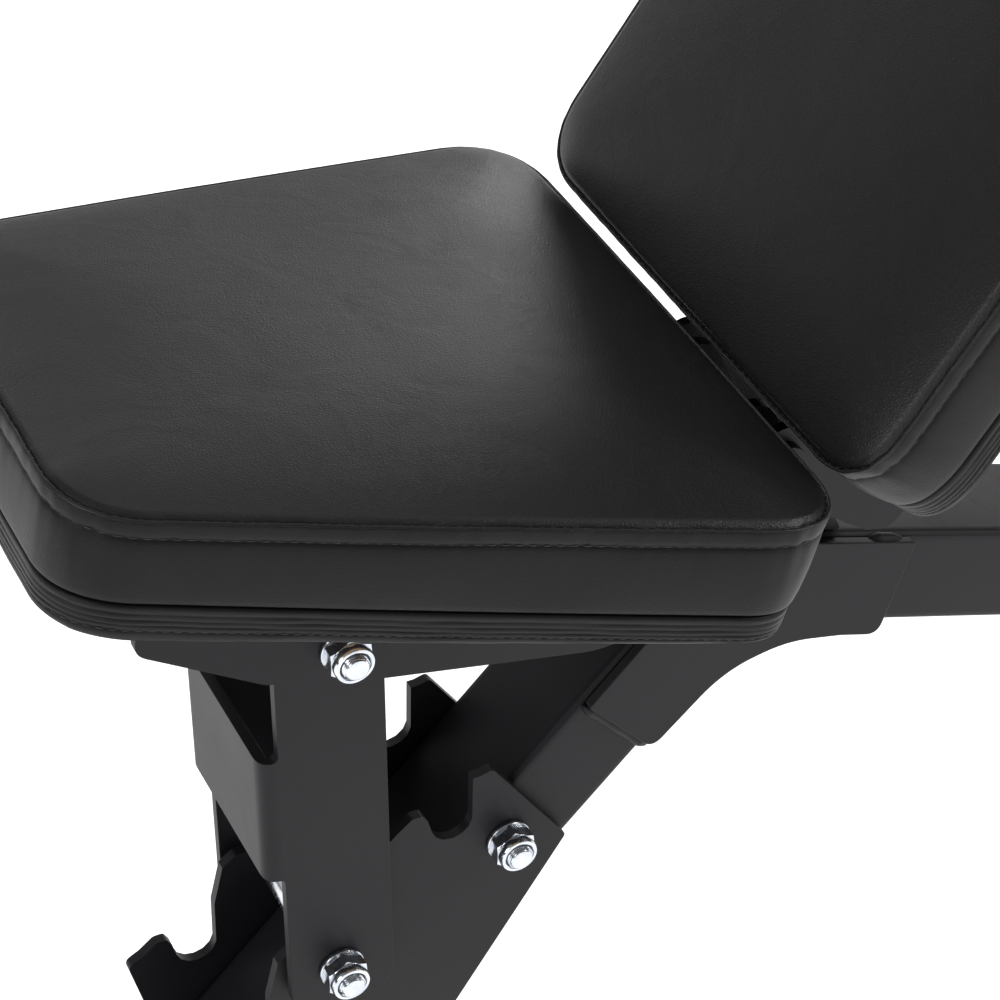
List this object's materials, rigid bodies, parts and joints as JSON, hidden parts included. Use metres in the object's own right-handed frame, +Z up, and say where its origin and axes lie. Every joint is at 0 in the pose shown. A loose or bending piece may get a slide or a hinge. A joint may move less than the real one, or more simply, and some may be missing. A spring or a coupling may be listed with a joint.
{
  "type": "adjustable weight bench",
  "caption": "Ladder-style adjustable weight bench: padded tilting seat on a notched leg, raised back pad with support arm, tube spine, cross feet, wheels.",
  "frame": {"origin": "on the floor, at the middle of the whole bench's length and width", "axes": "+X along the bench from the seat end to the wheels, +Y across it, +Z up"},
  "size_m": [1.3938, 0.4746, 1.0842],
  "materials": {
    "frame": "charcoal satin powder coat",
    "vinyl": "black grained vinyl, semi-gloss",
    "zinc": "bright zinc plate",
    "rubber": "matt black",
    "plywood": "raw plywood with a black dust cover"
  },
  "bodies": {
    "frame": {"back_ladder_far": "frame", "back_ladder_near": "frame", "beam_end_plate": "frame", "front_foot": "frame", "front_foot_cap_far": "rubber", "front_foot_cap_near": "rubber", "front_post": "frame", "gusset_far": "frame", "gusset_near": "frame", "hinge_bolt": "zinc", "hinge_nut": "zinc", "hinge_plate_far": "frame", "hinge_plate_near": "frame", "hinge_spacer_far": "zinc", "hinge_spacer_near": "zinc", "hinge_tube": "zinc", "ladder_bolt": "zinc", "ladder_nut": "zinc", "lift_handle": "frame", "main_beam": "frame", "rear_foot": "frame", "rear_foot_cap_far": "rubber", "rear_foot_cap_near": "rubber", "seat_ladder_far": "frame", "seat_ladder_near": "frame", "wheel_axle_far": "zinc", "wheel_axle_near": "zinc", "wheel_fork_far": "frame", "wheel_fork_near": "frame"},
    "seat": {"seat_board": "plywood", "seat_bracket": "frame", "seat_cushion": "vinyl", "seat_cushion_edge": "vinyl", "seat_rim": "vinyl", "seat_screw_far_1": "zinc", "seat_screw_far_2": "zinc", "seat_screw_near_1": "zinc", "seat_screw_near_2": "zinc", "leg_pivot_bolt": "zinc", "leg_pivot_nut": "zinc"},
    "seat_leg": {"seat_leg": "frame", "leg_pin_bolt": "zinc", "leg_pin_nut": "zinc", "leg_pin_sleeve": "zinc"},
    "back": {"back_board": "plywood", "back_cushion": "vinyl", "back_frame": "frame", "back_rim": "vinyl", "back_screw_far_1": "zinc", "back_screw_far_2": "zinc", "back_screw_near_1": "zinc", "back_screw_near_2": "zinc", "arm_pivot_bolt": "zinc", "arm_pivot_nut": "zinc"},
    "support_arm": {"support_arm": "frame", "arm_foot_pin": "zinc", "arm_foot_sleeve": "zinc"},
    "wheel_near": {"wheel_near": "rubber"},
    "wheel_far": {"wheel_far": "rubber"}
  },
  "joints": [
    {"name": "seat_tilt", "type": "hinge", "parent": "frame", "child": "seat", "pos_m": [-0.2791, 0, 0.42], "axis": [0, 1, 0], "range_deg": [0, 12], "deforming": ["seat_cushion_edge"]},
    {"name": "seat_leg_swing", "type": "hinge", "parent": "seat", "child": "seat_leg", "pos_m": [-0.4791, 0, 0.4], "axis": [0, 1, 0], "range_deg": [-12.5, 0.5]},
    {"name": "back_tilt", "type": "hinge", "parent": "frame", "child": "back", "pos_m": [-0.2791, 0, 0.42], "axis": [0, -1, 0], "range_deg": [-53.35, 26.65], "deforming": ["seat_cushion_edge"]},
    {"name": "support_arm_swing", "type": "hinge", "parent": "back", "child": "support_arm", "pos_m": [-0.09973, 0, 0.58569], "axis": [0, -1, 0], "range_deg": [-41, 81]},
    {"name": "wheel_near_spin", "type": "hinge", "parent": "frame", "child": "wheel_near", "pos_m": [0.6549, -0.15, 0.048], "axis": [0, 1, 0], "continuous": true},
    {"name": "wheel_far_spin", "type": "hinge", "parent": "frame", "child": "wheel_far", "pos_m": [0.6549, 0.15, 0.048], "axis": [0, 1, 0], "continuous": true}
  ],
  "couplings": [
    {"joint": "seat_leg_swing", "follows": "seat_tilt", "ratio": -1},
    {"joint": "support_arm_swing", "follows": "back_tilt", "ratio": -1.5}
  ]
}
